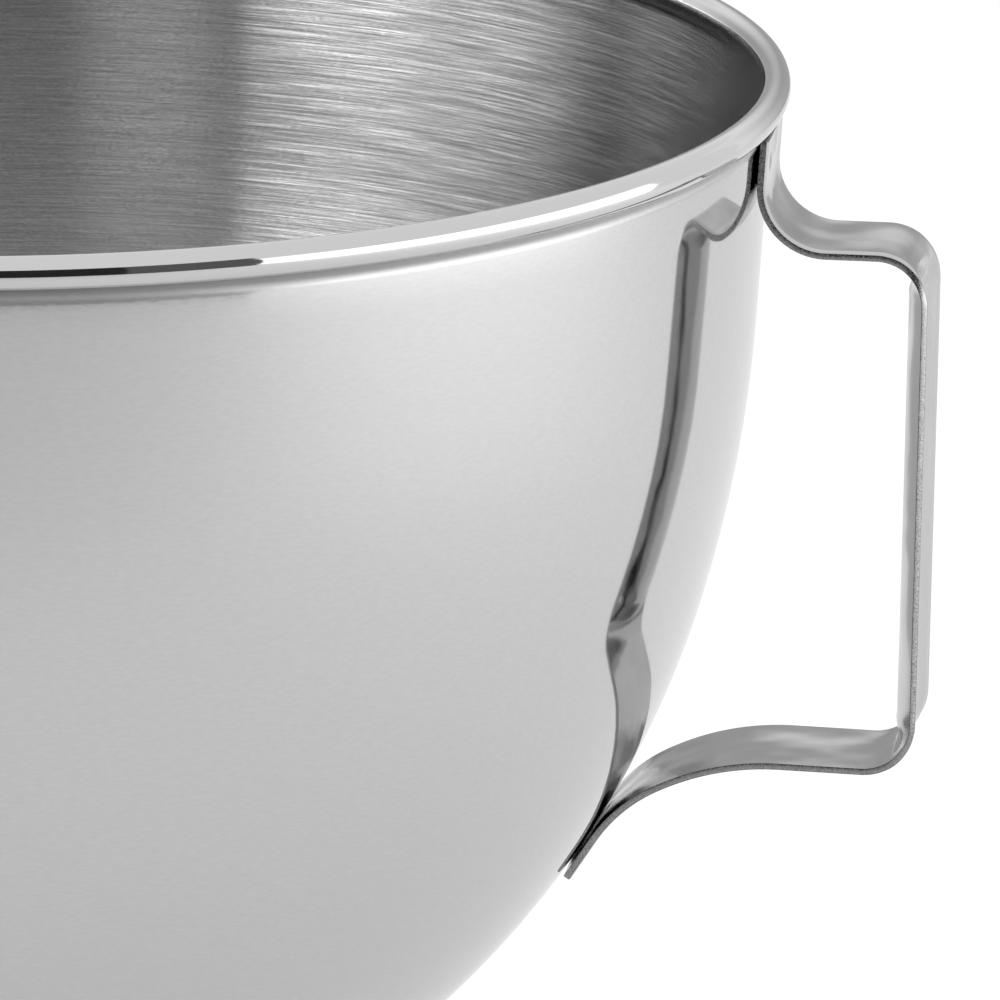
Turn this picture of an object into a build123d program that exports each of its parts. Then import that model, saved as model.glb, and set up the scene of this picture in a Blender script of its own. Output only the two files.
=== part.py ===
"""Stainless bowl for a stand mixer: drawn shell with a rolled rim, bent strap handle, stamped base ring.

Millimetres. The bowl's axis is Z, and the handle points along +X. The pieces are drawn in the rim's
own frame, with the centre of the rolled bead at z = 0, and are then lifted so that the base ring
stands on z = 0.
"""

from build123d import *
from math import acos, asin, atan, cos, degrees, radians, sin, tan
import os

# Rolled rim: the wall is curled outwards into a hollow bead of oval section
rim_diameter = 222.0
bead_width = 4.1
bead_height = 4.5
curl_end_angle = -106.0
neck_depth = 5.0

# Drawn wall: one steel sheet, a slightly tapered collar and then three arcs, each tangent to the next
sheet = 0.8
collar_taper = 3.7
collar_depth = 32.3
wall_inset = 2.25
belly_radius = 177.0
belly_end_angle = 16.6
side_radius = 130.0
side_end_angle = 52.0
knuckle_radius = 45.0

# Raised middle of the bottom, which lets the beater reach what lies there, and the flat round it
bottom_flat_width = 3.4
dome_edge_radius = 8.0
dome_angle = 26.0

# Stamped base ring, set back from the rim's edge, and welded under the bowl by a lip on the wall
ring_set_back = 53.0
ring_sheet = 1.0
ring_lip_length = 7.0
ring_shoulder_radius = 3.0
ring_foot_radius = 1.6
ring_foot_width = 5.0
bottom_clearance = 11.0

# Locking lugs, pressed outwards out of the ring's wall
lug_count = 3
first_lug_angle = 60.0
lug_section_radius = 3.0
lug_set_in = 0.6
lug_length = 25.0
lug_height = 8.0

# Handle: one flat strap, bent to a hook and a tail. Its grip stands off the rim's edge and its knee
# off the wall, and the two bends of the tail each take a share of the leg between them
strap_width = 18.6
strap_thickness = 1.1
tab_top_gap = 0.6
tab_bend_radius = 8.9
upper_arm_depth = 20.0
grip_stand_off = 21.0
grip_lean = 0.75
grip_top_radius = 6.9
grip_bottom_radius = 7.1
lower_arm_depth = 93.3
lower_arm_fall = 1.0
knee_stand_off = 11.45
knee_angle = 25.5
knee_share = 0.55
tail_bend_share = 0.41
tail_weld_drop = 14.3
tail_overlap = 3.7

# Hollow of the grip, deepest along the strap's middle, that dies out in the two bends
grip_hollow = 2.6
hollow_run_out = 6.0
hollow_bend_share = 0.35

# Spot welds, one in the middle of each tab: a shallow round dent that the electrode leaves, and
# the film of clearance that stays between the sheets around the nugget
weld_diameter = 4.2
weld_dent = 0.25
weld_drop = 6.6
weld_gap = 0.05

# Spacing of the sections that the grip is lofted through
station_step = 2.0

rim_radius = rim_diameter / 2
bead_centre = rim_radius - bead_width / 2
ring_radius = rim_radius - ring_set_back


def polar(length, angle):
    """Vector in the section plane, at an angle in degrees from the outward radius."""
    return Vector(length * cos(radians(angle)), length * sin(radians(angle)))


def wall_chain(inset):
    """The wall's section from the neck down to the axis, for the face that lies inset inside the outer one."""
    outward = polar(1, -collar_taper)
    start = Vector(rim_radius - wall_inset - neck_depth * tan(radians(collar_taper)), -neck_depth)
    run = (collar_depth - neck_depth) / cos(radians(collar_taper))
    collar = Line(start - outward * inset, start - outward * inset + polar(run, -90 - collar_taper))
    belly = JernArc(collar @ 1, collar % 1, belly_radius - inset, collar_taper - belly_end_angle)
    side = JernArc(belly @ 1, belly % 1, side_radius - inset, belly_end_angle - side_end_angle)
    knuckle = JernArc(side @ 1, side % 1, knuckle_radius - inset, side_end_angle - 90)
    flat = Line(knuckle @ 1, knuckle @ 1 - Vector(bottom_flat_width, 0))
    edge = JernArc(flat @ 1, flat % 1, dome_edge_radius - inset, -dome_angle)
    dome_radius = (flat @ 1).X / sin(radians(dome_angle)) - dome_edge_radius
    dome = JernArc(edge @ 1, edge % 1, dome_radius + inset, dome_angle)
    return [collar, belly, side, knuckle, flat, edge, dome]


def arc_centre(arc_start, start_angle, radius):
    """Centre of a wall arc, from its upper end and the wall's angle from the vertical there."""
    return arc_start - polar(radius, -start_angle)


outer_chain = wall_chain(0)
side_centre = arc_centre(outer_chain[2] @ 0, belly_end_angle, side_radius)
bottom_z = (outer_chain[4] @ 0).Y
rest_z = bottom_z - bottom_clearance


def wall_point(angle, outset=0.0):
    """Point of the lower wall where it leans by angle from the vertical, and outset off its outer face."""
    return side_centre + polar(side_radius + outset, -angle)


def wall_lean(height, outset=0.0):
    """The lower wall's angle from the vertical at a height, the other way round from wall_point."""
    return degrees(asin((side_centre.Y - height) / (side_radius + outset)))


def bowl_shell():
    """Drawn shell: the sheet's section with its curled rim, spun about the axis."""
    inner_chain = wall_chain(sheet)
    top_tangent = Vector(0, 1)
    wall_up = polar(1, 90 - collar_taper)
    inner_side = Vector(bead_centre - bead_width / 2, 0)
    curl_back = inner_side + Vector(sheet, 0)
    inner_neck = Spline(inner_chain[0] @ 0, inner_side, tangents=(wall_up, top_tangent))
    outer_neck = Spline(outer_chain[0] @ 0, curl_back, tangents=(wall_up, top_tangent))
    centre = (bead_centre, 0)
    sweep = curl_end_angle - 180
    bead = EllipticalCenterArc(centre, bead_width / 2, bead_height / 2, 180, arc_size=sweep)
    hollow = EllipticalCenterArc(centre, bead_width / 2 - sheet, bead_height / 2 - sheet, 180, arc_size=sweep)
    curl_edge = Line(bead @ 1, hollow @ 1)
    axis_edge = Line(outer_chain[-1] @ 1, inner_chain[-1] @ 1)
    outline = [inner_neck, bead, curl_edge, hollow, outer_neck, axis_edge] + inner_chain + outer_chain
    section = Plane.XZ * make_face([edge for part in outline for edge in part.edges()])
    return revolve(section, Axis.Z, 360)


def ring_chain(inset):
    """Section line of the base ring, from the lip's end on the wall to the inner edge of its foot."""
    lip_radius = side_radius + ring_sheet
    reach = (ring_radius + ring_shoulder_radius - side_centre.X) / (lip_radius + ring_shoulder_radius)
    shoulder_angle = degrees(acos(reach))
    lip_sweep = degrees(ring_lip_length / lip_radius)
    start = side_centre + polar(lip_radius - inset, lip_sweep - shoulder_angle)
    lip = JernArc(start, polar(1, lip_sweep - shoulder_angle - 90), lip_radius - inset, -lip_sweep)
    shoulder = JernArc(lip @ 1, lip % 1, ring_shoulder_radius + inset, shoulder_angle)
    wall = Line(shoulder @ 1, ((shoulder @ 1).X, rest_z + ring_foot_radius))
    foot_bend = JernArc(wall @ 1, wall % 1, ring_foot_radius - inset, -90)
    foot = Line(foot_bend @ 1, (ring_radius - ring_foot_width, (foot_bend @ 1).Y))
    return [lip, shoulder, wall, foot_bend, foot]


def base_ring():
    """Stamped ring: a sheet section spun about the axis, with pressed locking lugs round its wall."""
    outer, inner = ring_chain(0), ring_chain(ring_sheet)
    ends = [Line(outer[0] @ 0, inner[0] @ 0), Line(outer[-1] @ 1, inner[-1] @ 1)]
    section = Plane.XZ * make_face([edge for part in outer + inner + ends for edge in part.edges()])
    ring = revolve(section, Axis.Z, 360)
    lug_radius = ring_radius - lug_set_in
    lug_arc = degrees(lug_length / lug_radius)
    inside = Cylinder(ring_radius - ring_sheet, -rest_z, align=(Align.CENTER, Align.CENTER, Align.MIN))
    inside = Pos(0, 0, rest_z) * inside
    for index in range(lug_count):
        turn = Rot(0, 0, first_lug_angle + index * 360 / lug_count - lug_arc / 2)
        pressed = turn * lug_body(lug_radius, lug_section_radius, lug_arc)
        hollow = turn * lug_body(lug_radius, lug_section_radius - ring_sheet, lug_arc)
        ring = ring + (pressed - inside) - hollow
    return ring


def lug_body(radius, section_radius, arc):
    """A round bar bent along the ring's wall, with ball ends: the outside or the hollow of one lug."""
    seat = Pos(radius, 0, rest_z + lug_height)
    bar = revolve(seat * (Plane.XZ * Circle(section_radius)), Axis.Z, arc)
    half_ball = Sphere(section_radius, arc_size3=180, align=(Align.CENTER, Align.MIN, Align.CENTER))
    return bar + seat * Rot(0, 0, 180) * half_ball + Rot(0, 0, arc) * seat * half_ball


def crossing(point_a, angle_a, point_b, angle_b):
    """Where two lines of the section plane meet, each given by a point and its direction in degrees."""
    along_a, along_b = polar(1, angle_a), polar(1, angle_b)
    gap = point_b - point_a
    share = (gap.X * along_b.Y - gap.Y * along_b.X) / (along_a.X * along_b.Y - along_a.Y * along_b.X)
    return point_a + along_a * share


strap_seat = strap_thickness / 2 + weld_gap
lower_arm_z = bead_height / 2 - lower_arm_depth + strap_thickness / 2
tail_lean = wall_lean(lower_arm_z - tail_weld_drop, strap_seat)


def bend_radius(before, corner, after, reach):
    """Radius of a bend at a corner that takes up this much of each of the two runs beside it."""
    half_angle = (before - corner).get_angle(after - corner) / 2
    return reach * tan(radians(half_angle))


def handle_route():
    """Middle line of the strap's thickness, from the tab under the rim to the tail's end on the wall."""
    half = strap_thickness / 2
    rim_top = bead_height / 2
    tab_direction = -90 - collar_taper
    tab_line = (outer_chain[0] @ 0) + polar(strap_seat, -collar_taper)
    tab_top = crossing(tab_line, tab_direction, Vector(0, -rim_top - tab_top_gap), 0)
    upper_arm = Vector(0, rim_top - upper_arm_depth - half)
    grip_top = Vector(rim_radius + grip_stand_off - half, upper_arm.Y)
    knee = Vector(wall_point(wall_lean(lower_arm_z)).X + knee_stand_off, lower_arm_z)
    grip_bottom = crossing(grip_top, -90 - grip_lean, knee, -lower_arm_fall)
    weld = wall_point(tail_lean, strap_seat)
    tail_direction = -90 - tail_lean
    tail_corner = crossing(knee, 180 + knee_angle, weld, tail_direction)
    tail_end = weld + polar(tail_overlap, tail_direction)
    corners = [
        tab_top,
        crossing(tab_line, tab_direction, upper_arm, 0),
        grip_top,
        grip_bottom,
        knee,
        tail_corner,
        tail_end,
    ]
    leg = (tail_corner - knee).length
    knee_radius = bend_radius(grip_bottom, knee, tail_corner, leg * knee_share)
    tail_radius = bend_radius(knee, tail_corner, tail_end, leg * tail_bend_share)
    radii = [tab_bend_radius, grip_top_radius, grip_bottom_radius, knee_radius, tail_radius]
    return corners, FilletPolyline(*corners, radius=radii)


def smooth_step(value):
    """0 up to 1 without a kink at either end."""
    share = min(max(value, 0.0), 1.0)
    return share * share * (3 - 2 * share)


def strap_section(place, along, depth):
    """Section of the strap at one station: a bow that sinks by depth towards the bowl, or flat at 0."""
    tilt = atan(4 * depth / strap_width)
    origin = Vector(place.X, 0, place.Y)
    towards_bowl = Vector(along.Y, 0, -along.X)
    across = Vector(0, 1, 0)

    def face_curve(offset):
        half_width = strap_width / 2 + offset * sin(tilt)
        edge_depth = offset * cos(tilt)
        middle_depth = edge_depth + half_width * tan(tilt)
        near = origin - across * half_width + towards_bowl * edge_depth
        far = origin + across * half_width + towards_bowl * edge_depth
        return Bezier(near, origin + towards_bowl * middle_depth, far)

    inner = face_curve(strap_thickness / 2)
    outer = face_curve(-strap_thickness / 2)
    return make_face([inner, Line(inner @ 1, outer @ 1), outer, Line(outer @ 0, inner @ 0)])


def flat_run(wire):
    """A flat stretch of the strap: its plain section swept along one part of the route."""
    start, heading = wire @ 0, wire % 0
    plane = Plane(origin=(start.X, 0, start.Y), x_dir=(0, 1, 0), z_dir=(heading.X, 0, heading.Y))
    return sweep(plane * Rectangle(strap_width, strap_thickness), path=Plane.XZ * wire)


def handle_strap():
    """The strap: two flat runs with a weld dent each, and between them the grip, lofted so that it is hollow."""
    corners, route = handle_route()
    edges = route.edges()
    top_bend, bottom_bend = [edge for edge in edges if edge.geom_type == GeomType.CIRCLE][1:3]
    lengths = [edge.length for edge in edges]
    hollow_start = sum(lengths[:edges.index(top_bend)]) + top_bend.length * hollow_bend_share
    hollow_end = sum(lengths[:edges.index(bottom_bend)]) + bottom_bend.length * (1 - hollow_bend_share)
    stations = round((hollow_end - hollow_start) / station_step)
    sections = []
    for station in range(stations + 1):
        travelled = hollow_start + (hollow_end - hollow_start) * station / stations
        rise = smooth_step((travelled - hollow_start) / hollow_run_out)
        fall = smooth_step((hollow_end - travelled) / hollow_run_out)
        share = travelled / route.length
        place, along = route.position_at(share), route.tangent_at(share)
        sections.append(strap_section(place, along, grip_hollow * rise * fall))
    grip = loft(sections)
    upper = flat_run(route.wire().trim(0, hollow_start / route.length))
    lower = flat_run(route.wire().trim(hollow_end / route.length, 1))
    upper_weld = crossing(corners[0], -90 - collar_taper, Vector(0, -weld_drop), 0)
    upper_dent = weld_dent_ball(upper_weld, -collar_taper)
    lower_dent = weld_dent_ball(wall_point(tail_lean, strap_seat), -tail_lean)
    return (upper - upper_dent) + grip + (lower - lower_dent)


def weld_dent_ball(middle, facing):
    """A large ball that cuts a shallow round dent into the outer side of a tab."""
    radius = ((weld_diameter / 2) ** 2 + weld_dent ** 2) / (2 * weld_dent)
    centre = middle + polar(strap_thickness / 2 - weld_dent + radius, facing)
    return Pos(centre.X, 0, centre.Y) * Sphere(radius)


pieces = {"bowl_shell": bowl_shell(), "base_ring": base_ring(), "handle_strap": handle_strap()}
lift = Pos(0, 0, -rest_z)

os.makedirs("parts", exist_ok=True)
for name, piece in pieces.items():
    export_step(lift * piece, f"parts/{name}.step")

rim_height = bead_height / 2 - rest_z
print(f"height {rim_height:.2f}, inside depth {bead_height / 2 - bottom_z - sheet:.2f}")
for name, piece in pieces.items():
    box = piece.bounding_box()
    print(f"{name}: volume {piece.volume:.0f}, valid {piece.is_valid}, size {box.size}")
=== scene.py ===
from math import acos, asin, atan, copysign, cos, degrees, hypot, pi, radians, sin, sqrt, tan

import bmesh
import bpy
from mathutils import Matrix, Vector


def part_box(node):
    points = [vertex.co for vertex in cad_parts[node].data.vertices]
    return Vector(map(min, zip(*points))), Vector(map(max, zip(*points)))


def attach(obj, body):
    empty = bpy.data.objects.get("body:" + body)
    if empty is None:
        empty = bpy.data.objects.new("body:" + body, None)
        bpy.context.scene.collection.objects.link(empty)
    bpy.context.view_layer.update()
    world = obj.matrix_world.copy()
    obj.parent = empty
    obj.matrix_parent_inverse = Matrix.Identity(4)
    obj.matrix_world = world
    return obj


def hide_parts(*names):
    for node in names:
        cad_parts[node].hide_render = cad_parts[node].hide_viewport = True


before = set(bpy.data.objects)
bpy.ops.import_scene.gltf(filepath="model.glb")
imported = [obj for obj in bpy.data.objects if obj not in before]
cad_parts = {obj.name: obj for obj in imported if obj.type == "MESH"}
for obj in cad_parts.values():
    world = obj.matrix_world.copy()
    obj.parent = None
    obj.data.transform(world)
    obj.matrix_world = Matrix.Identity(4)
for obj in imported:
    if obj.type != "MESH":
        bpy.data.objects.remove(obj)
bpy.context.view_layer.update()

mm = 0.001

# The bowl: one disc of stainless sheet, drawn deep over a punch and then spun to its round side. Its rim
# is the same sheet, curled outwards into a hollow bead and buffed bright. The inside is brushed round and
# round with a belt, and the outside is polished until only a soft haze is left.
sheet = 0.8 * mm
bead_width = 4.1 * mm
bead_height = 4.5 * mm
curl_turn = 276.0
neck_bend_radius = 2.5 * mm
neck_bend = 34.6
collar_taper = 3.7
collar_length = 29.32 * mm
belly_radius = 176.2 * mm
belly_turn = 12.9
side_radius = 129.2 * mm
side_turn = 35.4
knuckle_radius = 44.2 * mm
flat_width = 3.4 * mm
dome_edge_radius = 7.2 * mm
dome_angle = 26.0
bowl_round_steps = 320
merge_distance = 0.01 * mm
rim_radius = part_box("bowl_shell")[1][0]
bead_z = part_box("bowl_shell")[1][2] - bead_height / 2
lean = collar_taper + belly_turn


def polar(length, angle):
    """Vector in the XZ plane, at an angle in degrees above +X."""
    return Vector((length * cos(radians(angle)), 0, length * sin(radians(angle))))


def verts_of(row):
    """The points of a row, which holds its points and the edges between them."""
    return [item for item in row if isinstance(item, bmesh.types.BMVert)]


def run(mesh, row, heading, length, steps):
    """Draw a point or a row of a section straight on in the XZ plane, at a heading in degrees above +X."""
    step = polar(1, heading) * length / steps
    rows = []
    for _ in range(steps):
        row = bmesh.ops.spin(mesh, geom=row, axis=(0, 1, 0), dvec=step, angle=0, steps=1)["geom_last"]
        rows.append(row)
    return rows


def bend(mesh, row, heading, radius, turn, steps):
    """Draw it on round an arc that turns by so many degrees, to the left if positive."""
    places = [vert.co for vert in verts_of(row)]
    centre = sum(places, Vector()) / len(places) + polar(1, heading + copysign(90, turn)) * radius
    angle = radians(turn / steps)
    rows = []
    for _ in range(steps):
        made = bmesh.ops.spin(mesh, geom=row, cent=centre, axis=(0, -1, 0), angle=angle, steps=1)
        row = made["geom_last"]
        rows.append(row)
    return rows


def spun_round(mesh, steps):
    """Spin a section once round the axis, and close its seam and its pole."""
    section = mesh.verts[:] + mesh.edges[:]
    bmesh.ops.spin(mesh, geom=section, axis=(0, 0, 1), angle=2 * pi, steps=steps, use_merge=True)
    bmesh.ops.remove_doubles(mesh, verts=mesh.verts, dist=merge_distance)
    bmesh.ops.recalc_face_normals(mesh, faces=mesh.faces)


def finished_mesh(name, mesh):
    """Turn a bmesh into a smooth object that stands in the scene where its mesh says."""
    data = bpy.data.meshes.new(name)
    mesh.to_mesh(data)
    mesh.free()
    data.shade_smooth()
    piece = bpy.data.objects.new(name, data)
    bpy.context.collection.objects.link(piece)
    return piece


def given_thickness(piece, thickness):
    """Give a drawn face the thickness of its sheet, on the side that it turns its back to."""
    wall = piece.modifiers.new("sheet", "SOLIDIFY")
    wall.thickness = thickness
    wall.offset = -1
    wall.use_even_offset = True
    return wall


bowl_mesh = bmesh.new()
start = bmesh.ops.create_vert(bowl_mesh, co=(rim_radius - bead_width, 0, bead_z))["vert"]
bead_rows = bend(bowl_mesh, start, 90, bead_width / 2, -curl_turn, steps=48)
bead_verts = [vert for row in bead_rows for vert in verts_of(row)]
bead_centre = Matrix.Translation((0, 0, -bead_z))
bmesh.ops.scale(bowl_mesh, vec=(1, 1, bead_height / bead_width), space=bead_centre, verts=bead_verts)
section = bend(bowl_mesh, start, -90, neck_bend_radius, neck_bend, steps=4)
section = bend(bowl_mesh, section[-1], -90 + neck_bend, neck_bend_radius, -neck_bend - collar_taper, steps=5)
section = run(bowl_mesh, section[-1], -90 - collar_taper, collar_length, steps=5)
section = bend(bowl_mesh, section[-1], -90 - collar_taper, belly_radius, -belly_turn, steps=8)
side_centre = section[-1][0].co - polar(1, -lean) * side_radius
section = bend(bowl_mesh, section[-1], -90 - lean, side_radius, -side_turn, steps=18)
side_foot = -90 - lean - side_turn
section = bend(bowl_mesh, section[-1], side_foot, knuckle_radius, -180 - side_foot, steps=12)
section = run(bowl_mesh, section[-1], -180, flat_width, steps=1)
section = bend(bowl_mesh, section[-1], -180, dome_edge_radius, -dome_angle, steps=5)
dome_radius = section[-1][0].co.x / sin(radians(dome_angle))
bend(bowl_mesh, section[-1], -180 - dome_angle, dome_radius, dome_angle, steps=12)
spun_round(bowl_mesh, bowl_round_steps)
middle_face = min(bowl_mesh.faces, key=lambda face: hypot(*face.calc_center_median().xy))
if middle_face.normal.z < 0:
    bmesh.ops.reverse_faces(bowl_mesh, faces=bowl_mesh.faces)
for face in bowl_mesh.faces:
    on_bead = face.calc_center_median().z > bead_z - bead_height / 2
    face.material_index = 1 if on_bead else 0
bowl = finished_mesh("spun_bowl", bowl_mesh)
# Finishes 0 and 1 are those of the inside and the rim, and 2 and 3 lie behind them on the outer face.
wall = given_thickness(bowl, sheet)
wall.material_offset = 2
wall.material_offset_rim = 1

# Nearly all of a noise lies between low and high, and fine lines use a little more of it.
noise_low = 0.3
noise_high = 0.7
lines_low = 0.25
lines_high = 0.75


def steel(name, colour, roughness, anisotropy=0.0):
    """A bare stainless finish: a metal shader, and its node tree for what else the finish needs."""
    material = bpy.data.materials.new(name)
    material.use_nodes = True
    shader = material.node_tree.nodes["Principled BSDF"]
    shader.inputs["Base Color"].default_value = (colour, colour, colour, 1)
    shader.inputs["Metallic"].default_value = 1
    shader.inputs["Roughness"].default_value = roughness
    shader.inputs["Anisotropic"].default_value = anisotropy
    return material, material.node_tree.nodes, material.node_tree.links, shader


def add(nodes, links, kind, inputs=(), **settings):
    """Add a node, set its properties, and link or fill its inputs in order."""
    node = nodes.new("ShaderNode" + kind)
    for key, value in settings.items():
        setattr(node, key, value)
    for index, value in enumerate(inputs):
        if isinstance(value, bpy.types.NodeSocket):
            links.new(value, node.inputs[index])
        elif value is not None:
            node.inputs[index].default_value = value
    return node


def round_streaks(nodes, links, dash, pitch, detail=2.0):
    """Noise drawn out round the axis: dashes of about this length, at about this pitch up the wall."""
    place = add(nodes, links, "TexCoord").outputs["Object"]
    flat = add(nodes, links, "VectorMath", [place, (1, 1, 0)], operation="MULTIPLY")
    radius = add(nodes, links, "VectorMath", [flat.outputs[0]], operation="LENGTH")
    height = add(nodes, links, "SeparateXYZ", [place])
    down = add(nodes, links, "Math", [radius.outputs["Value"], height.outputs["Z"]], operation="ADD")
    slow = add(nodes, links, "VectorMath", [flat.outputs[0], (1 / dash,) * 3], operation="MULTIPLY")
    fast = add(nodes, links, "Math", [down.outputs[0], 1 / pitch], operation="MULTIPLY")
    fast = add(nodes, links, "CombineXYZ", [0, 0, fast.outputs[0]])
    along = add(nodes, links, "VectorMath", [slow.outputs[0], fast.outputs[0]], operation="ADD")
    noise = add(nodes, links, "TexNoise", [along.outputs[0]])
    noise.inputs["Scale"].default_value = 1
    noise.inputs["Detail"].default_value = detail
    return noise.outputs["Fac"]


def polished_round(nodes, links, shader, lines, tilt):
    """Polish lines that run round the axis. They tip the surface up and down by up to tilt, as a slope."""
    place = add(nodes, links, "TexCoord").outputs["Object"]
    around = add(nodes, links, "VectorMath", [(0, 0, 1), place], operation="CROSS_PRODUCT")
    around = add(nodes, links, "VectorMath", [around.outputs[0]], operation="NORMALIZE")
    facing = add(nodes, links, "NewGeometry").outputs["Normal"]
    down = add(nodes, links, "VectorMath", [around.outputs[0], facing], operation="CROSS_PRODUCT")
    slope = add(nodes, links, "MapRange", [lines, lines_low, lines_high, -tilt, tilt])
    tipped = add(nodes, links, "VectorMath", [down.outputs[0]], operation="SCALE")
    links.new(slope.outputs["Result"], tipped.inputs["Scale"])
    tipped = add(nodes, links, "VectorMath", [facing, tipped.outputs[0]], operation="ADD")
    tipped = add(nodes, links, "VectorMath", [tipped.outputs[0]], operation="NORMALIZE")
    links.new(tipped.outputs[0], shader.inputs["Normal"])
    links.new(down.outputs[0], shader.inputs["Tangent"])


def mixture(nodes, links, first, first_share, second):
    """Two patterns laid over each other: this share of the first, and the rest of the second."""
    part = add(nodes, links, "Math", [first, first_share], operation="MULTIPLY").outputs[0]
    return add(nodes, links, "Math", [second, 1 - first_share, part], operation="MULTIPLY_ADD").outputs[0]


def varied(nodes, links, pattern, middle, spread):
    """A value that a pattern drives up and down round its middle, by this spread."""
    ends = [noise_low, noise_high, middle - spread, middle + spread]
    return add(nodes, links, "MapRange", [pattern] + ends).outputs["Result"]


inside_tone = 0.435
inside_tone_spread = 0.1
inside_roughness = 0.2
inside_anisotropy = 1.0
fine_share = 0.75
speck_share = 0.45
brush_tilt = 0.08
brushed, nodes, links, shader = steel("brushed_inside", inside_tone, inside_roughness, inside_anisotropy)
fine = round_streaks(nodes, links, dash=16 * mm, pitch=0.12 * mm, detail=0.0)
dashes = round_streaks(nodes, links, dash=10 * mm, pitch=0.25 * mm, detail=1.0)
specks = round_streaks(nodes, links, dash=0.6 * mm, pitch=0.18 * mm, detail=0.0)
lines = mixture(nodes, links, fine, fine_share, dashes)
marks = mixture(nodes, links, specks, speck_share, dashes)
tone = varied(nodes, links, marks, inside_tone, inside_tone_spread)
links.new(tone, shader.inputs["Base Color"])
polished_round(nodes, links, shader, lines, brush_tilt)
bowl.data.materials.append(brushed)

rim_tone = 0.62
rim_roughness = 0.06
rim_roughness_spread = 0.03
buffed, nodes, links, shader = steel("buffed_rim", rim_tone, rim_roughness)
lines = round_streaks(nodes, links, dash=6 * mm, pitch=0.3 * mm)
roughness = varied(nodes, links, lines, rim_roughness, rim_roughness_spread)
links.new(roughness, shader.inputs["Roughness"])
bowl.data.materials.append(buffed)

outside_tone = 0.585
outside_tone_spread = 0.015
outside_roughness = 0.06
haze_tilt = 0.0015
dull_and_shaded_start = 4.6 * mm
dull_and_shaded_end = 2.9 * mm
dull_roughness = 0.8
painted_shade_tone_share = 0.7
polished, nodes, links, shader = steel("polished_outside", outside_tone, outside_roughness)
place = add(nodes, links, "TexCoord").outputs["Object"]
height = add(nodes, links, "SeparateXYZ", [place]).outputs["Z"]
# Just under the bead the outside turns rough, and its colour is darkened there too: painted shade under the
# bead's overhang.
under_bead = add(nodes, links, "MapRange", [height, bead_z - dull_and_shaded_start, bead_z - dull_and_shaded_end, 0, 1])
under_bead.interpolation_type = "SMOOTHSTEP"
dull_and_shaded = under_bead.outputs["Result"]
dull = add(nodes, links, "MapRange", [dull_and_shaded, 0, 1, outside_roughness, dull_roughness])
links.new(dull.outputs["Result"], shader.inputs["Roughness"])
grain = round_streaks(nodes, links, dash=1.2 * mm, pitch=0.4 * mm)
clean = varied(nodes, links, grain, outside_tone, outside_tone_spread)
painted_shade = add(nodes, links, "MapRange", [dull_and_shaded, 0, 1, 1, painted_shade_tone_share]).outputs["Result"]
tone = add(nodes, links, "Math", [clean, painted_shade], operation="MULTIPLY").outputs[0]
links.new(tone, shader.inputs["Base Color"])
polished_round(nodes, links, shader, grain, haze_tilt)
bowl.data.materials.append(polished)

bowl.data.materials.append(buffed)
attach(bowl, "root")
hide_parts("bowl_shell")

# The base ring: one steel pressing under the bowl. A lip at its top lies on the wall and is welded to it,
# its foot is turned inwards, and three lugs are pressed out of its side to lock under the mixer's clamp.
ring_radius = rim_radius - 53.0 * mm
ring_sheet = 1.0 * mm
lip_length = 7.0 * mm
shoulder_radius = 3.0 * mm
foot_radius = 1.6 * mm
foot_width = 5.0 * mm
ring_round_steps = 480
lug_count = 3
first_lug_angle = 60.0
lug_section_radius = 3.0 * mm
lug_set_in = 0.6 * mm
lug_length = 25.0 * mm
lug_height = 8.0 * mm
lug_softness = 0.25 * mm
off_side = 0.1 * mm

lip_radius = side_radius + sheet + ring_sheet
shoulder_reach = (ring_radius + shoulder_radius - side_centre.x) / (lip_radius + shoulder_radius)
shoulder_angle = degrees(acos(shoulder_reach))
lip_turn = degrees(lip_length / lip_radius)
lip_heading = lip_turn - shoulder_angle - 90
lip_top = side_centre + polar(1, lip_heading + 90) * lip_radius
ring_mesh = bmesh.new()
start = bmesh.ops.create_vert(ring_mesh, co=lip_top)["vert"]
section = bend(ring_mesh, start, lip_heading, lip_radius, -lip_turn, steps=8)
section = bend(ring_mesh, section[-1], -90 - shoulder_angle, shoulder_radius, shoulder_angle, steps=8)
section = run(ring_mesh, section[-1], -90, section[-1][0].co.z - foot_radius, steps=40)
section = bend(ring_mesh, section[-1], -90, foot_radius, -90, steps=6)
run(ring_mesh, section[-1], -180, foot_width - foot_radius, steps=2)
spun_round(ring_mesh, ring_round_steps)
side_face = max(ring_mesh.faces, key=lambda face: face.calc_center_median().x)
if side_face.normal.x < 0:
    bmesh.ops.reverse_faces(ring_mesh, faces=ring_mesh.faces)
for vert in ring_mesh.verts:
    if abs(hypot(*vert.co.xy) - ring_radius) > off_side:
        continue
    outwards = Vector((vert.co.x, vert.co.y, 0)).normalized()
    for lug in range(lug_count):
        angle = radians(first_lug_angle + lug * 360 / lug_count)
        off_middle = outwards.angle(Vector((cos(angle), sin(angle), 0)))
        past_end = max(off_middle * ring_radius - lug_length / 2, 0)
        off_line = hypot(past_end, vert.co.z - lug_height)
        if off_line < lug_section_radius:
            bulge = sqrt(lug_section_radius ** 2 - off_line ** 2) - lug_set_in
            bulge = (bulge + hypot(bulge, lug_softness)) / 2
            vert.co += outwards * bulge
ring = finished_mesh("pressed_ring", ring_mesh)
given_thickness(ring, ring_sheet)

ring_tone = 0.58
ring_roughness = 0.3
ring_anisotropy = 0.6
ring_tilt = 0.05
pressed, nodes, links, shader = steel("pressed_satin", ring_tone, ring_roughness, ring_anisotropy)
lines = round_streaks(nodes, links, dash=30 * mm, pitch=0.15 * mm)
polished_round(nodes, links, shader, lines, ring_tilt)
ring.data.materials.append(pressed)
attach(ring, "root")
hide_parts("base_ring")

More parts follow.
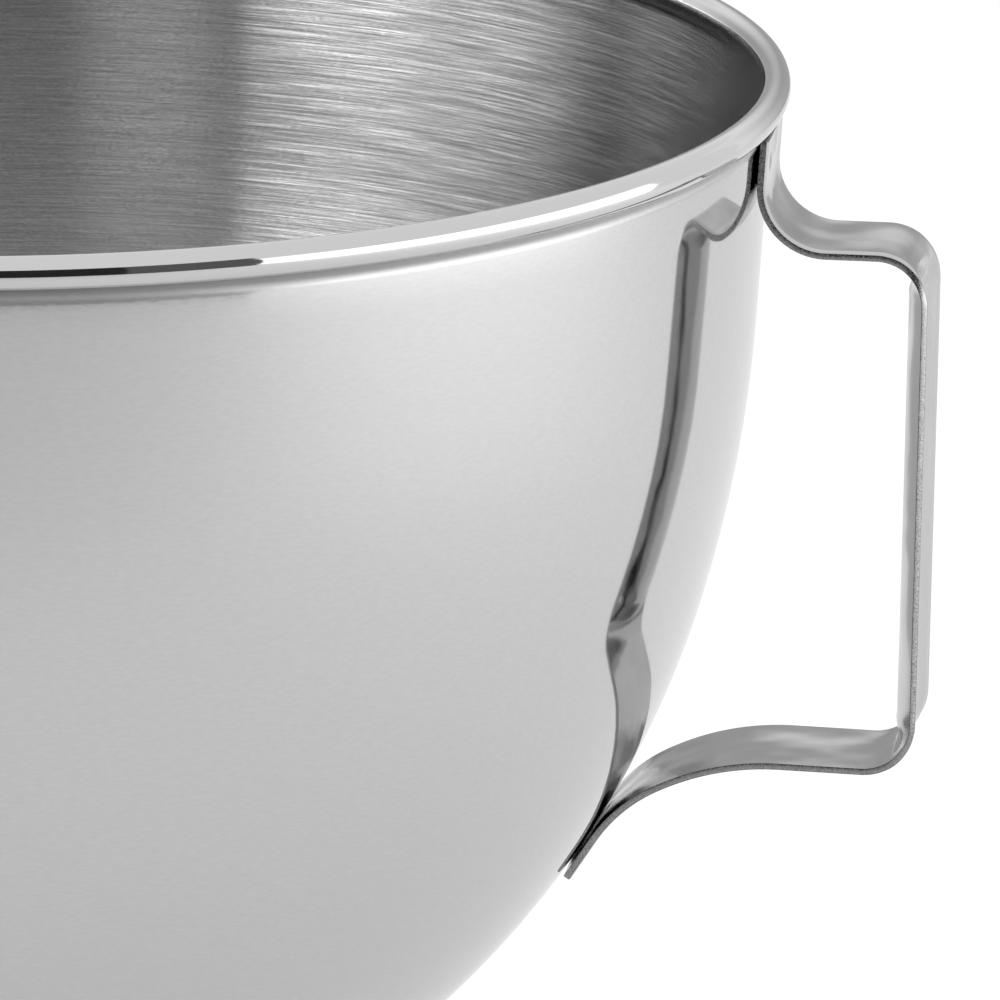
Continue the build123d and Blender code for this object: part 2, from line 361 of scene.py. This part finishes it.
# The handle: one strip of stainless, sheared to width, bent to a hook and a tail, and pressed hollow along
# the grip. Its faces are satin polished and its sheared edges are left grey. One spot weld holds each tab.
strap_width = 18.6 * mm
strap_thickness = 1.1 * mm
tab_top_gap = 0.6 * mm
tab_bend_radius = 8.9 * mm
upper_arm_depth = 20.0 * mm
grip_stand_off = 21.0 * mm
grip_lean = 0.75
grip_top_radius = 6.9 * mm
grip_bottom_radius = 7.1 * mm
lower_arm_depth = 93.3 * mm
lower_arm_fall = 1.0
knee_stand_off = 11.45 * mm
knee_angle = 25.5
knee_share = 0.55
tail_bend_share = 0.41
tail_weld_drop = 14.3 * mm
tail_overlap = 3.7 * mm
grip_hollow = 2.6 * mm
hollow_run_out = 6.0 * mm
hollow_bend_share = 0.35
weld_gap = 0.05 * mm
weld_diameter = 3.2 * mm
weld_dent = 0.35 * mm
weld_aside = 4.0 * mm
weld_drop = 6.6 * mm
edge_roll = 0.25 * mm
edge_roll_width = 1.1 * mm
corner_break = 0.2 * mm
corner_angle = 40.0
strap_columns = 60
column_crowding = 1.5
row_step = 0.4 * mm
fewest_bend_steps = 4


def crossing(point_a, angle_a, point_b, angle_b):
    """Where two lines of the XZ plane meet, each given by a point and its direction in degrees."""
    along_a = polar(1, angle_a)
    along_b = polar(1, angle_b)
    gap = point_b - point_a
    share = gap.x * along_b.z - gap.z * along_b.x
    share /= along_a.x * along_b.z - along_a.z * along_b.x
    return point_a + along_a * share


half = strap_thickness / 2
seat = half + weld_gap
outer_side = side_radius + sheet
rim_top = bead_z + bead_height / 2
neck_foot = neck_bend_radius * (sin(radians(neck_bend)) * 2 + sin(radians(collar_taper)))
neck_x = rim_radius - bead_width + neck_bend_radius * (2 - 2 * cos(radians(neck_bend)))
neck_x -= neck_bend_radius * (1 - cos(radians(collar_taper)))
collar_point = Vector((neck_x, 0, bead_z - neck_foot)) + polar(sheet + seat, -collar_taper)
under_rim = Vector((0, 0, bead_z - bead_height / 2 - tab_top_gap))
tab_top = crossing(collar_point, -90 - collar_taper, under_rim, 0)
upper_arm = Vector((0, 0, rim_top - upper_arm_depth - half))
tab_corner = crossing(collar_point, -90 - collar_taper, upper_arm, 0)
grip_top = Vector((rim_radius + grip_stand_off - half, 0, upper_arm.z))
arm_z = rim_top - lower_arm_depth + half
arm_lean = degrees(asin((side_centre.z - arm_z) / outer_side))
knee = Vector(((side_centre + polar(outer_side, -arm_lean)).x + knee_stand_off, 0, arm_z))
grip_bottom = crossing(grip_top, -90 - grip_lean, knee, -lower_arm_fall)
tail_lean = degrees(asin((side_centre.z - arm_z + tail_weld_drop) / (outer_side + seat)))
tail_weld = side_centre + polar(outer_side + seat, -tail_lean)
tail_corner = crossing(knee, 180 + knee_angle, tail_weld, -90 - tail_lean)
tail_end = tail_weld + polar(tail_overlap, -90 - tail_lean)
leg = (tail_corner - knee).length
upper_weld = crossing(tab_top, -90 - collar_taper, Vector((0, 0, bead_z - weld_drop)), 0)
upper_weld.y = -weld_aside

tab_turn = 90 + collar_taper
grip_top_turn = -90 - grip_lean
grip_bottom_turn = -90 + grip_lean - lower_arm_fall
knee_turn = knee_angle + lower_arm_fall
tail_turn = 90 - tail_lean - knee_angle
knee_radius = leg * knee_share / tan(radians(knee_turn) / 2)
tail_radius = leg * tail_bend_share / tan(radians(tail_turn) / 2)
corners = [tab_top, tab_corner, grip_top, grip_bottom, knee, tail_corner, tail_end]
bends = [
    (tab_bend_radius, tab_turn),
    (grip_top_radius, grip_top_turn),
    (grip_bottom_radius, grip_bottom_turn),
    (knee_radius, knee_turn),
    (tail_radius, tail_turn),
]
no_bend = (0, 0)


def bend_reach(radius, turn):
    """Length that a bend takes off each of the two runs beside it."""
    return radius * tan(radians(abs(turn)) / 2)


def smooth_step(value):
    """0 up to 1 without a kink at either end."""
    share = min(max(value, 0.0), 1.0)
    return share * share * (3 - 2 * share)


strap_mesh = bmesh.new()
across = Vector((0, strap_width, 0))
first_corner = tab_top - across / 2 + polar(half, 180 - collar_taper)
row = bmesh.ops.create_vert(strap_mesh, co=first_corner)["vert"]
for _ in range(strap_columns):
    step = across / strap_columns
    row = bmesh.ops.spin(strap_mesh, geom=row, axis=(0, 1, 0), dvec=step, angle=0, steps=1)["geom_last"]
row = strap_mesh.verts[:] + strap_mesh.edges[:]
heading = -90 - collar_taper
travelled = 0.0
rows = [(row, travelled, heading)]
bend_places = []
reach_before = 0.0
for index, (radius, turn) in enumerate(bends + [no_bend]):
    reach = bend_reach(radius, turn)
    length = (corners[index + 1] - corners[index]).length - reach_before - reach
    steps = max(1, round(length / row_step))
    for step, row in enumerate(run(strap_mesh, row, heading, length, steps)):
        rows.append((row, travelled + length * (step + 1) / steps, heading))
    travelled += length
    row = rows[-1][0]
    if turn == 0:
        break
    arc = radius * radians(abs(turn))
    bend_places.append((travelled, arc))
    towards_inner = half if turn < 0 else -half
    steps = max(fewest_bend_steps, round(arc / row_step))
    for step, row in enumerate(bend(strap_mesh, row, heading, radius - towards_inner, turn, steps)):
        rows.append((row, travelled + arc * (step + 1) / steps, heading + turn * (step + 1) / steps))
    travelled += arc
    row = rows[-1][0]
    heading += turn
    reach_before = reach

top_bend, top_arc = bend_places[1]
bottom_bend, bottom_arc = bend_places[2]
hollow_start = top_bend + top_arc * hollow_bend_share
hollow_end = bottom_bend + bottom_arc * (1 - hollow_bend_share)
for row, travelled, heading in rows:
    rise = smooth_step((travelled - hollow_start) / hollow_run_out)
    fall = smooth_step((hollow_end - travelled) / hollow_run_out)
    depth = grip_hollow * rise * fall
    tilt = atan(4 * depth / strap_width)
    for vert in verts_of(row):
        share = 2 * vert.co.y / strap_width
        share = copysign(1 - (1 - min(abs(share), 1)) ** column_crowding, share)
        vert.co.y = share * strap_width / 2
        vert.co.y += share * half * sin(tilt)
        vert.co += polar(depth * (1 - share ** 2), heading - 90)
bmesh.ops.recalc_face_normals(strap_mesh, faces=strap_mesh.faces)
grip_face = max(strap_mesh.faces, key=lambda face: face.calc_center_median().x)
if grip_face.normal.x > 0:
    bmesh.ops.reverse_faces(strap_mesh, faces=strap_mesh.faces)
strap = finished_mesh("strap_handle", strap_mesh)

# The strap is a little thinner at its rolled edges and where the weld's electrode pressed a round hollow.
thickness = strap.vertex_groups.new(name="thickness")
dent_radius = ((weld_diameter / 2) ** 2 + weld_dent ** 2) / (2 * weld_dent)
for vert in strap.data.vertices:
    from_edge = max(strap_width / 2 - abs(vert.co.y), 0)
    dent = edge_roll * max(1 - from_edge / edge_roll_width, 0) ** 2
    for weld in (upper_weld, tail_weld):
        off = (vert.co - weld).length
        if off < weld_diameter / 2 + half:
            dent = max(dent, weld_dent - dent_radius + sqrt(dent_radius ** 2 - off ** 2))
    thickness.add([vert.index], 1 - dent / strap_thickness, "REPLACE")
plate = given_thickness(strap, strap_thickness)
plate.vertex_group = "thickness"
plate.material_offset_rim = 1
# The corners are broken by a small rounding, which takes the third finish; its near-black colour is painted
# shade along the strap's edges.
edges = strap.modifiers.new("broken_corners", "BEVEL")
edges.width = corner_break
edges.segments = 3
edges.material = 2
edges.limit_method = "ANGLE"
edges.angle_limit = radians(corner_angle)


def speckle(nodes, links, size, detail=3.0):
    """Noise in blots of about this size, the same in every direction."""
    place = add(nodes, links, "TexCoord").outputs["Object"]
    noise = add(nodes, links, "TexNoise", [place])
    noise.inputs["Scale"].default_value = 1 / size
    noise.inputs["Detail"].default_value = detail
    return noise.outputs["Fac"]


def dented(nodes, links, shader, heights):
    """Bumps laid over each other, each given as a pattern and its height."""
    below = None
    for pattern, height in heights:
        bump = add(nodes, links, "Bump", [1.0, height])
        links.new(pattern, bump.inputs["Height"])
        if below:
            links.new(below, bump.inputs["Normal"])
        below = bump.outputs["Normal"]
    links.new(below, shader.inputs["Normal"])


strap_tone = 0.5
strap_tone_grain = 0.08
strap_roughness = 0.16
strap_roughness_spread = 0.05
blot_height = 0.8 * mm
grain_height = 0.002 * mm
burnt_tone = 0.22
burnt_radius = 0.8 * mm
clean_radius = 1.5 * mm
satin, nodes, links, shader = steel("satin_strap", strap_tone, strap_roughness)
blots = speckle(nodes, links, 9 * mm, detail=0.5)
grain = speckle(nodes, links, 0.35 * mm)
roughness = varied(nodes, links, blots, strap_roughness, strap_roughness_spread)
links.new(roughness, shader.inputs["Roughness"])
place = add(nodes, links, "TexCoord").outputs["Object"]
off_upper = add(nodes, links, "VectorMath", [place, upper_weld], operation="DISTANCE").outputs["Value"]
off_lower = add(nodes, links, "VectorMath", [place, tail_weld], operation="DISTANCE").outputs["Value"]
off_weld = add(nodes, links, "Math", [off_upper, off_lower], operation="MINIMUM").outputs[0]
heated = add(nodes, links, "MapRange", [off_weld, burnt_radius, clean_radius, burnt_tone, strap_tone])
heated = heated.outputs["Result"]
tone = add(nodes, links, "Math", [grain, strap_tone_grain, heated], operation="MULTIPLY_ADD").outputs[0]
links.new(tone, shader.inputs["Base Color"])
dented(nodes, links, shader, [(blots, blot_height), (grain, grain_height)])
strap.data.materials.append(satin)

sheared_tone = 0.28
sheared_tone_spread = 0.1
sheared_roughness = 0.3
sheared_roughness_spread = 0.12
sheared_grain = 0.2 * mm
sheared_grain_height = 0.006 * mm
sheared, nodes, links, shader = steel("sheared_edge", sheared_tone, sheared_roughness)
grain = speckle(nodes, links, sheared_grain)
roughness = varied(nodes, links, grain, sheared_roughness, sheared_roughness_spread)
links.new(roughness, shader.inputs["Roughness"])
links.new(varied(nodes, links, grain, sheared_tone, sheared_tone_spread), shader.inputs["Base Color"])
dented(nodes, links, shader, [(grain, sheared_grain_height)])
strap.data.materials.append(sheared)

# The broken corners: rough steel, whose colour is darkened nearly to black as painted shade.
painted_shade_corner_tone = 0.07
painted_shade_corner_spread = 0.05
torn_roughness = 0.4
torn_roughness_spread = 0.15
torn_and_shaded, nodes, links, shader = steel("torn_and_shaded_corner", painted_shade_corner_tone, torn_roughness)
grain = speckle(nodes, links, sheared_grain)
links.new(varied(nodes, links, grain, painted_shade_corner_tone, painted_shade_corner_spread), shader.inputs["Base Color"])
links.new(varied(nodes, links, grain, torn_roughness, torn_roughness_spread), shader.inputs["Roughness"])
strap.data.materials.append(torn_and_shaded)

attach(strap, "root")
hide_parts("handle_strap")

# The table that the bowl stands on: a plain white sweep. The camera and the steel see a part of it as
# glowing paper, which comes out white, and the rest is lit, so that it keeps the bowl's soft shadow.
table_reach = 4.0
paper_tone = 0.92
camera_share = 0.6
mirrored_share = 0.4
camera_glow = 1.2
mirrored_glow = 1.0
table_mesh = bmesh.new()
bmesh.ops.create_grid(table_mesh, x_segments=1, y_segments=1, size=table_reach)
table = finished_mesh("table", table_mesh)
paper = bpy.data.materials.new("white_sweep")
paper.use_nodes = True
nodes = paper.node_tree.nodes
links = paper.node_tree.links
nodes.clear()
lit = add(nodes, links, "BsdfDiffuse", [(paper_tone, paper_tone, paper_tone, 1)])
glow = add(nodes, links, "Emission", [(1, 1, 1, 1), 1.0])
path = add(nodes, links, "LightPath")
seen = path.outputs["Is Camera Ray"]
mirrored = add(nodes, links, "Math", [path.outputs["Is Glossy Ray"], mirrored_share], operation="MULTIPLY")
share = add(nodes, links, "Math", [seen, camera_share, mirrored.outputs[0]], operation="MULTIPLY_ADD")
bright = add(nodes, links, "MapRange", [seen, 0, 1, mirrored_glow, camera_glow])
links.new(bright.outputs[0], glow.inputs["Strength"])
mixed = add(nodes, links, "MixShader", [share.outputs[0], lit.outputs[0], glow.outputs[0]])
add(nodes, links, "OutputMaterial", [mixed.outputs[0]])
table.data.materials.append(paper)

# The camera stands well back with a long lens and looks down at the bowl's rim by some 15 degrees. The
# handle points to its right and a little towards it, and the picture's edges crop the bowl.
camera_distance = 1418.09 * mm
camera_height = 333.83 * mm
camera_pan = 0.0505
camera_tip = 0.2710
camera_roll = -0.0050
handle_turn = 0.18670
focal_pixels = 10644.5
image_width = 1000
sensor_width = 36
fore = Vector((sin(camera_pan) * cos(camera_tip), cos(camera_pan) * cos(camera_tip), -sin(camera_tip)))
right = Vector((cos(camera_pan), -sin(camera_pan), 0))
down = fore.cross(right)
rolled_right = right * cos(camera_roll) + down * sin(camera_roll)
rolled_up = right * sin(camera_roll) - down * cos(camera_roll)
turned = Matrix.Rotation(handle_turn, 3, "Z")
stand = turned @ Vector((0, -camera_distance, 0)) + Vector((0, 0, bead_z + camera_height))
lens = bpy.data.cameras.new("camera")
lens.sensor_width = sensor_width
lens.lens = focal_pixels * sensor_width / image_width
camera = bpy.data.objects.new("camera", lens)
axes = Matrix((turned @ rolled_right, turned @ rolled_up, turned @ -fore)).transposed().to_4x4()
camera.matrix_world = Matrix.Translation(stand) @ axes
bpy.context.collection.objects.link(camera)
bpy.context.scene.camera = camera

# The light: a plain white room. A low curved screen of light stands on the table at the bowl's right, and
# a tall one hangs at its left. A black one between them, on the camera's side, draws the dark lines that
# show polished steel, and grey ones stand at its right end and behind the bowl.
light_distance = 690 * mm
right_height = 325 * mm
right_end = 100.0
right_strength = 4.4
right_border = 1.8
left_height = 800 * mm
left_foot = 260 * mm
left_first = -118.0
left_last = -44.5
left_strength = 9.5
left_border = 3.2
dark_distance = 560 * mm
dark_height = 360 * mm
dark_first = -45.5
dark_last = 18.0
grey_last = 35.0
grey_strength = 0.1
behind_distance = 900 * mm
behind_height = 560 * mm
behind_first = 125.0
behind_last = 225.0
behind_strength = 0.4
behind_border = 1.0
black_cloth = 0.01
pale_cloth = 0.1
room_level = 0.95
backdrop_level = 1.0
screen_steps = 24


def screen(name, distance, height, first_angle, last_angle, colour, strength, border=None, foot=0):
    """A curved screen on the table round the bowl, between two angles to the right of the camera.
    Given a border, it glows that strongly along its ends and its top, and fades to its strength inside."""
    mesh = bmesh.new()
    bmesh.ops.create_vert(mesh, co=(0, -distance, foot))
    bmesh.ops.spin(mesh, geom=mesh.verts[:], axis=(0, 0, 1), dvec=(0, 0, height - foot), steps=1)
    start = handle_turn + radians(first_angle)
    bmesh.ops.rotate(mesh, verts=mesh.verts, matrix=Matrix.Rotation(start, 3, "Z"))
    turn = radians(last_angle - first_angle)
    edge = mesh.verts[:] + mesh.edges[:]
    bmesh.ops.spin(mesh, geom=edge, axis=(0, 0, 1), angle=turn, steps=screen_steps)
    piece = finished_mesh(name, mesh)
    cloth = bpy.data.materials.new(name)
    cloth.use_nodes = True
    shader = cloth.node_tree.nodes["Principled BSDF"]
    shader.inputs["Base Color"].default_value = (colour, colour, colour, 1)
    shader.inputs["Roughness"].default_value = 1
    shader.inputs["Emission Color"].default_value = (1, 1, 1, 1)
    shader.inputs["Emission Strength"].default_value = strength
    if border:
        nodes = cloth.node_tree.nodes
        links = cloth.node_tree.links
        place = add(nodes, links, "TexCoord").outputs["Object"]
        middle = start + turn / 2
        towards = (sin(middle), -cos(middle), 0)
        flat = add(nodes, links, "VectorMath", [place, (1, 1, 0)], operation="MULTIPLY")
        off = add(nodes, links, "VectorMath", [flat.outputs[0], towards], operation="DOT_PRODUCT")
        ends = [off.outputs["Value"], distance * cos(turn / 2), distance * cos(turn / 6), border, strength]
        sides = add(nodes, links, "MapRange", ends, interpolation_type="SMOOTHSTEP")
        level = add(nodes, links, "SeparateXYZ", [place]).outputs["Z"]
        ends = [level, height / 2, height, sides.outputs[0], border]
        glow = add(nodes, links, "MapRange", ends, interpolation_type="SMOOTHSTEP")
        links.new(glow.outputs[0], shader.inputs["Emission Strength"])
    piece.data.materials.append(cloth)
    piece.visible_camera = False
    piece.visible_shadow = False
    return piece


screen("dark_screen", dark_distance, dark_height, dark_first, dark_last, black_cloth, 0)
screen("grey_screen", dark_distance, dark_height, dark_last, grey_last, black_cloth, grey_strength)
behind = [behind_first, behind_last, black_cloth, behind_strength, behind_border]
screen("grey_screen_behind", behind_distance, behind_height, *behind)
right = [grey_last, right_end, pale_cloth, right_strength, right_border]
screen("light_screen_right", light_distance, right_height, *right)
left = [left_first, left_last, pale_cloth, left_strength, left_border, left_foot]
left_light = screen("light_screen_left", light_distance, left_height, *left)
left_light.visible_diffuse = False
world = bpy.data.worlds.new("studio")
bpy.context.scene.world = world
world.use_nodes = True
nodes = world.node_tree.nodes
links = world.node_tree.links
nodes.clear()
path = add(nodes, links, "LightPath")
glow = add(nodes, links, "MapRange", [path.outputs["Is Camera Ray"], 0, 1, room_level, backdrop_level])
sky = add(nodes, links, "Background", [(1, 1, 1, 1), glow.outputs[0]])
add(nodes, links, "OutputWorld", [sky.outputs[0]])

bpy.context.scene.view_settings.view_transform = "Standard"
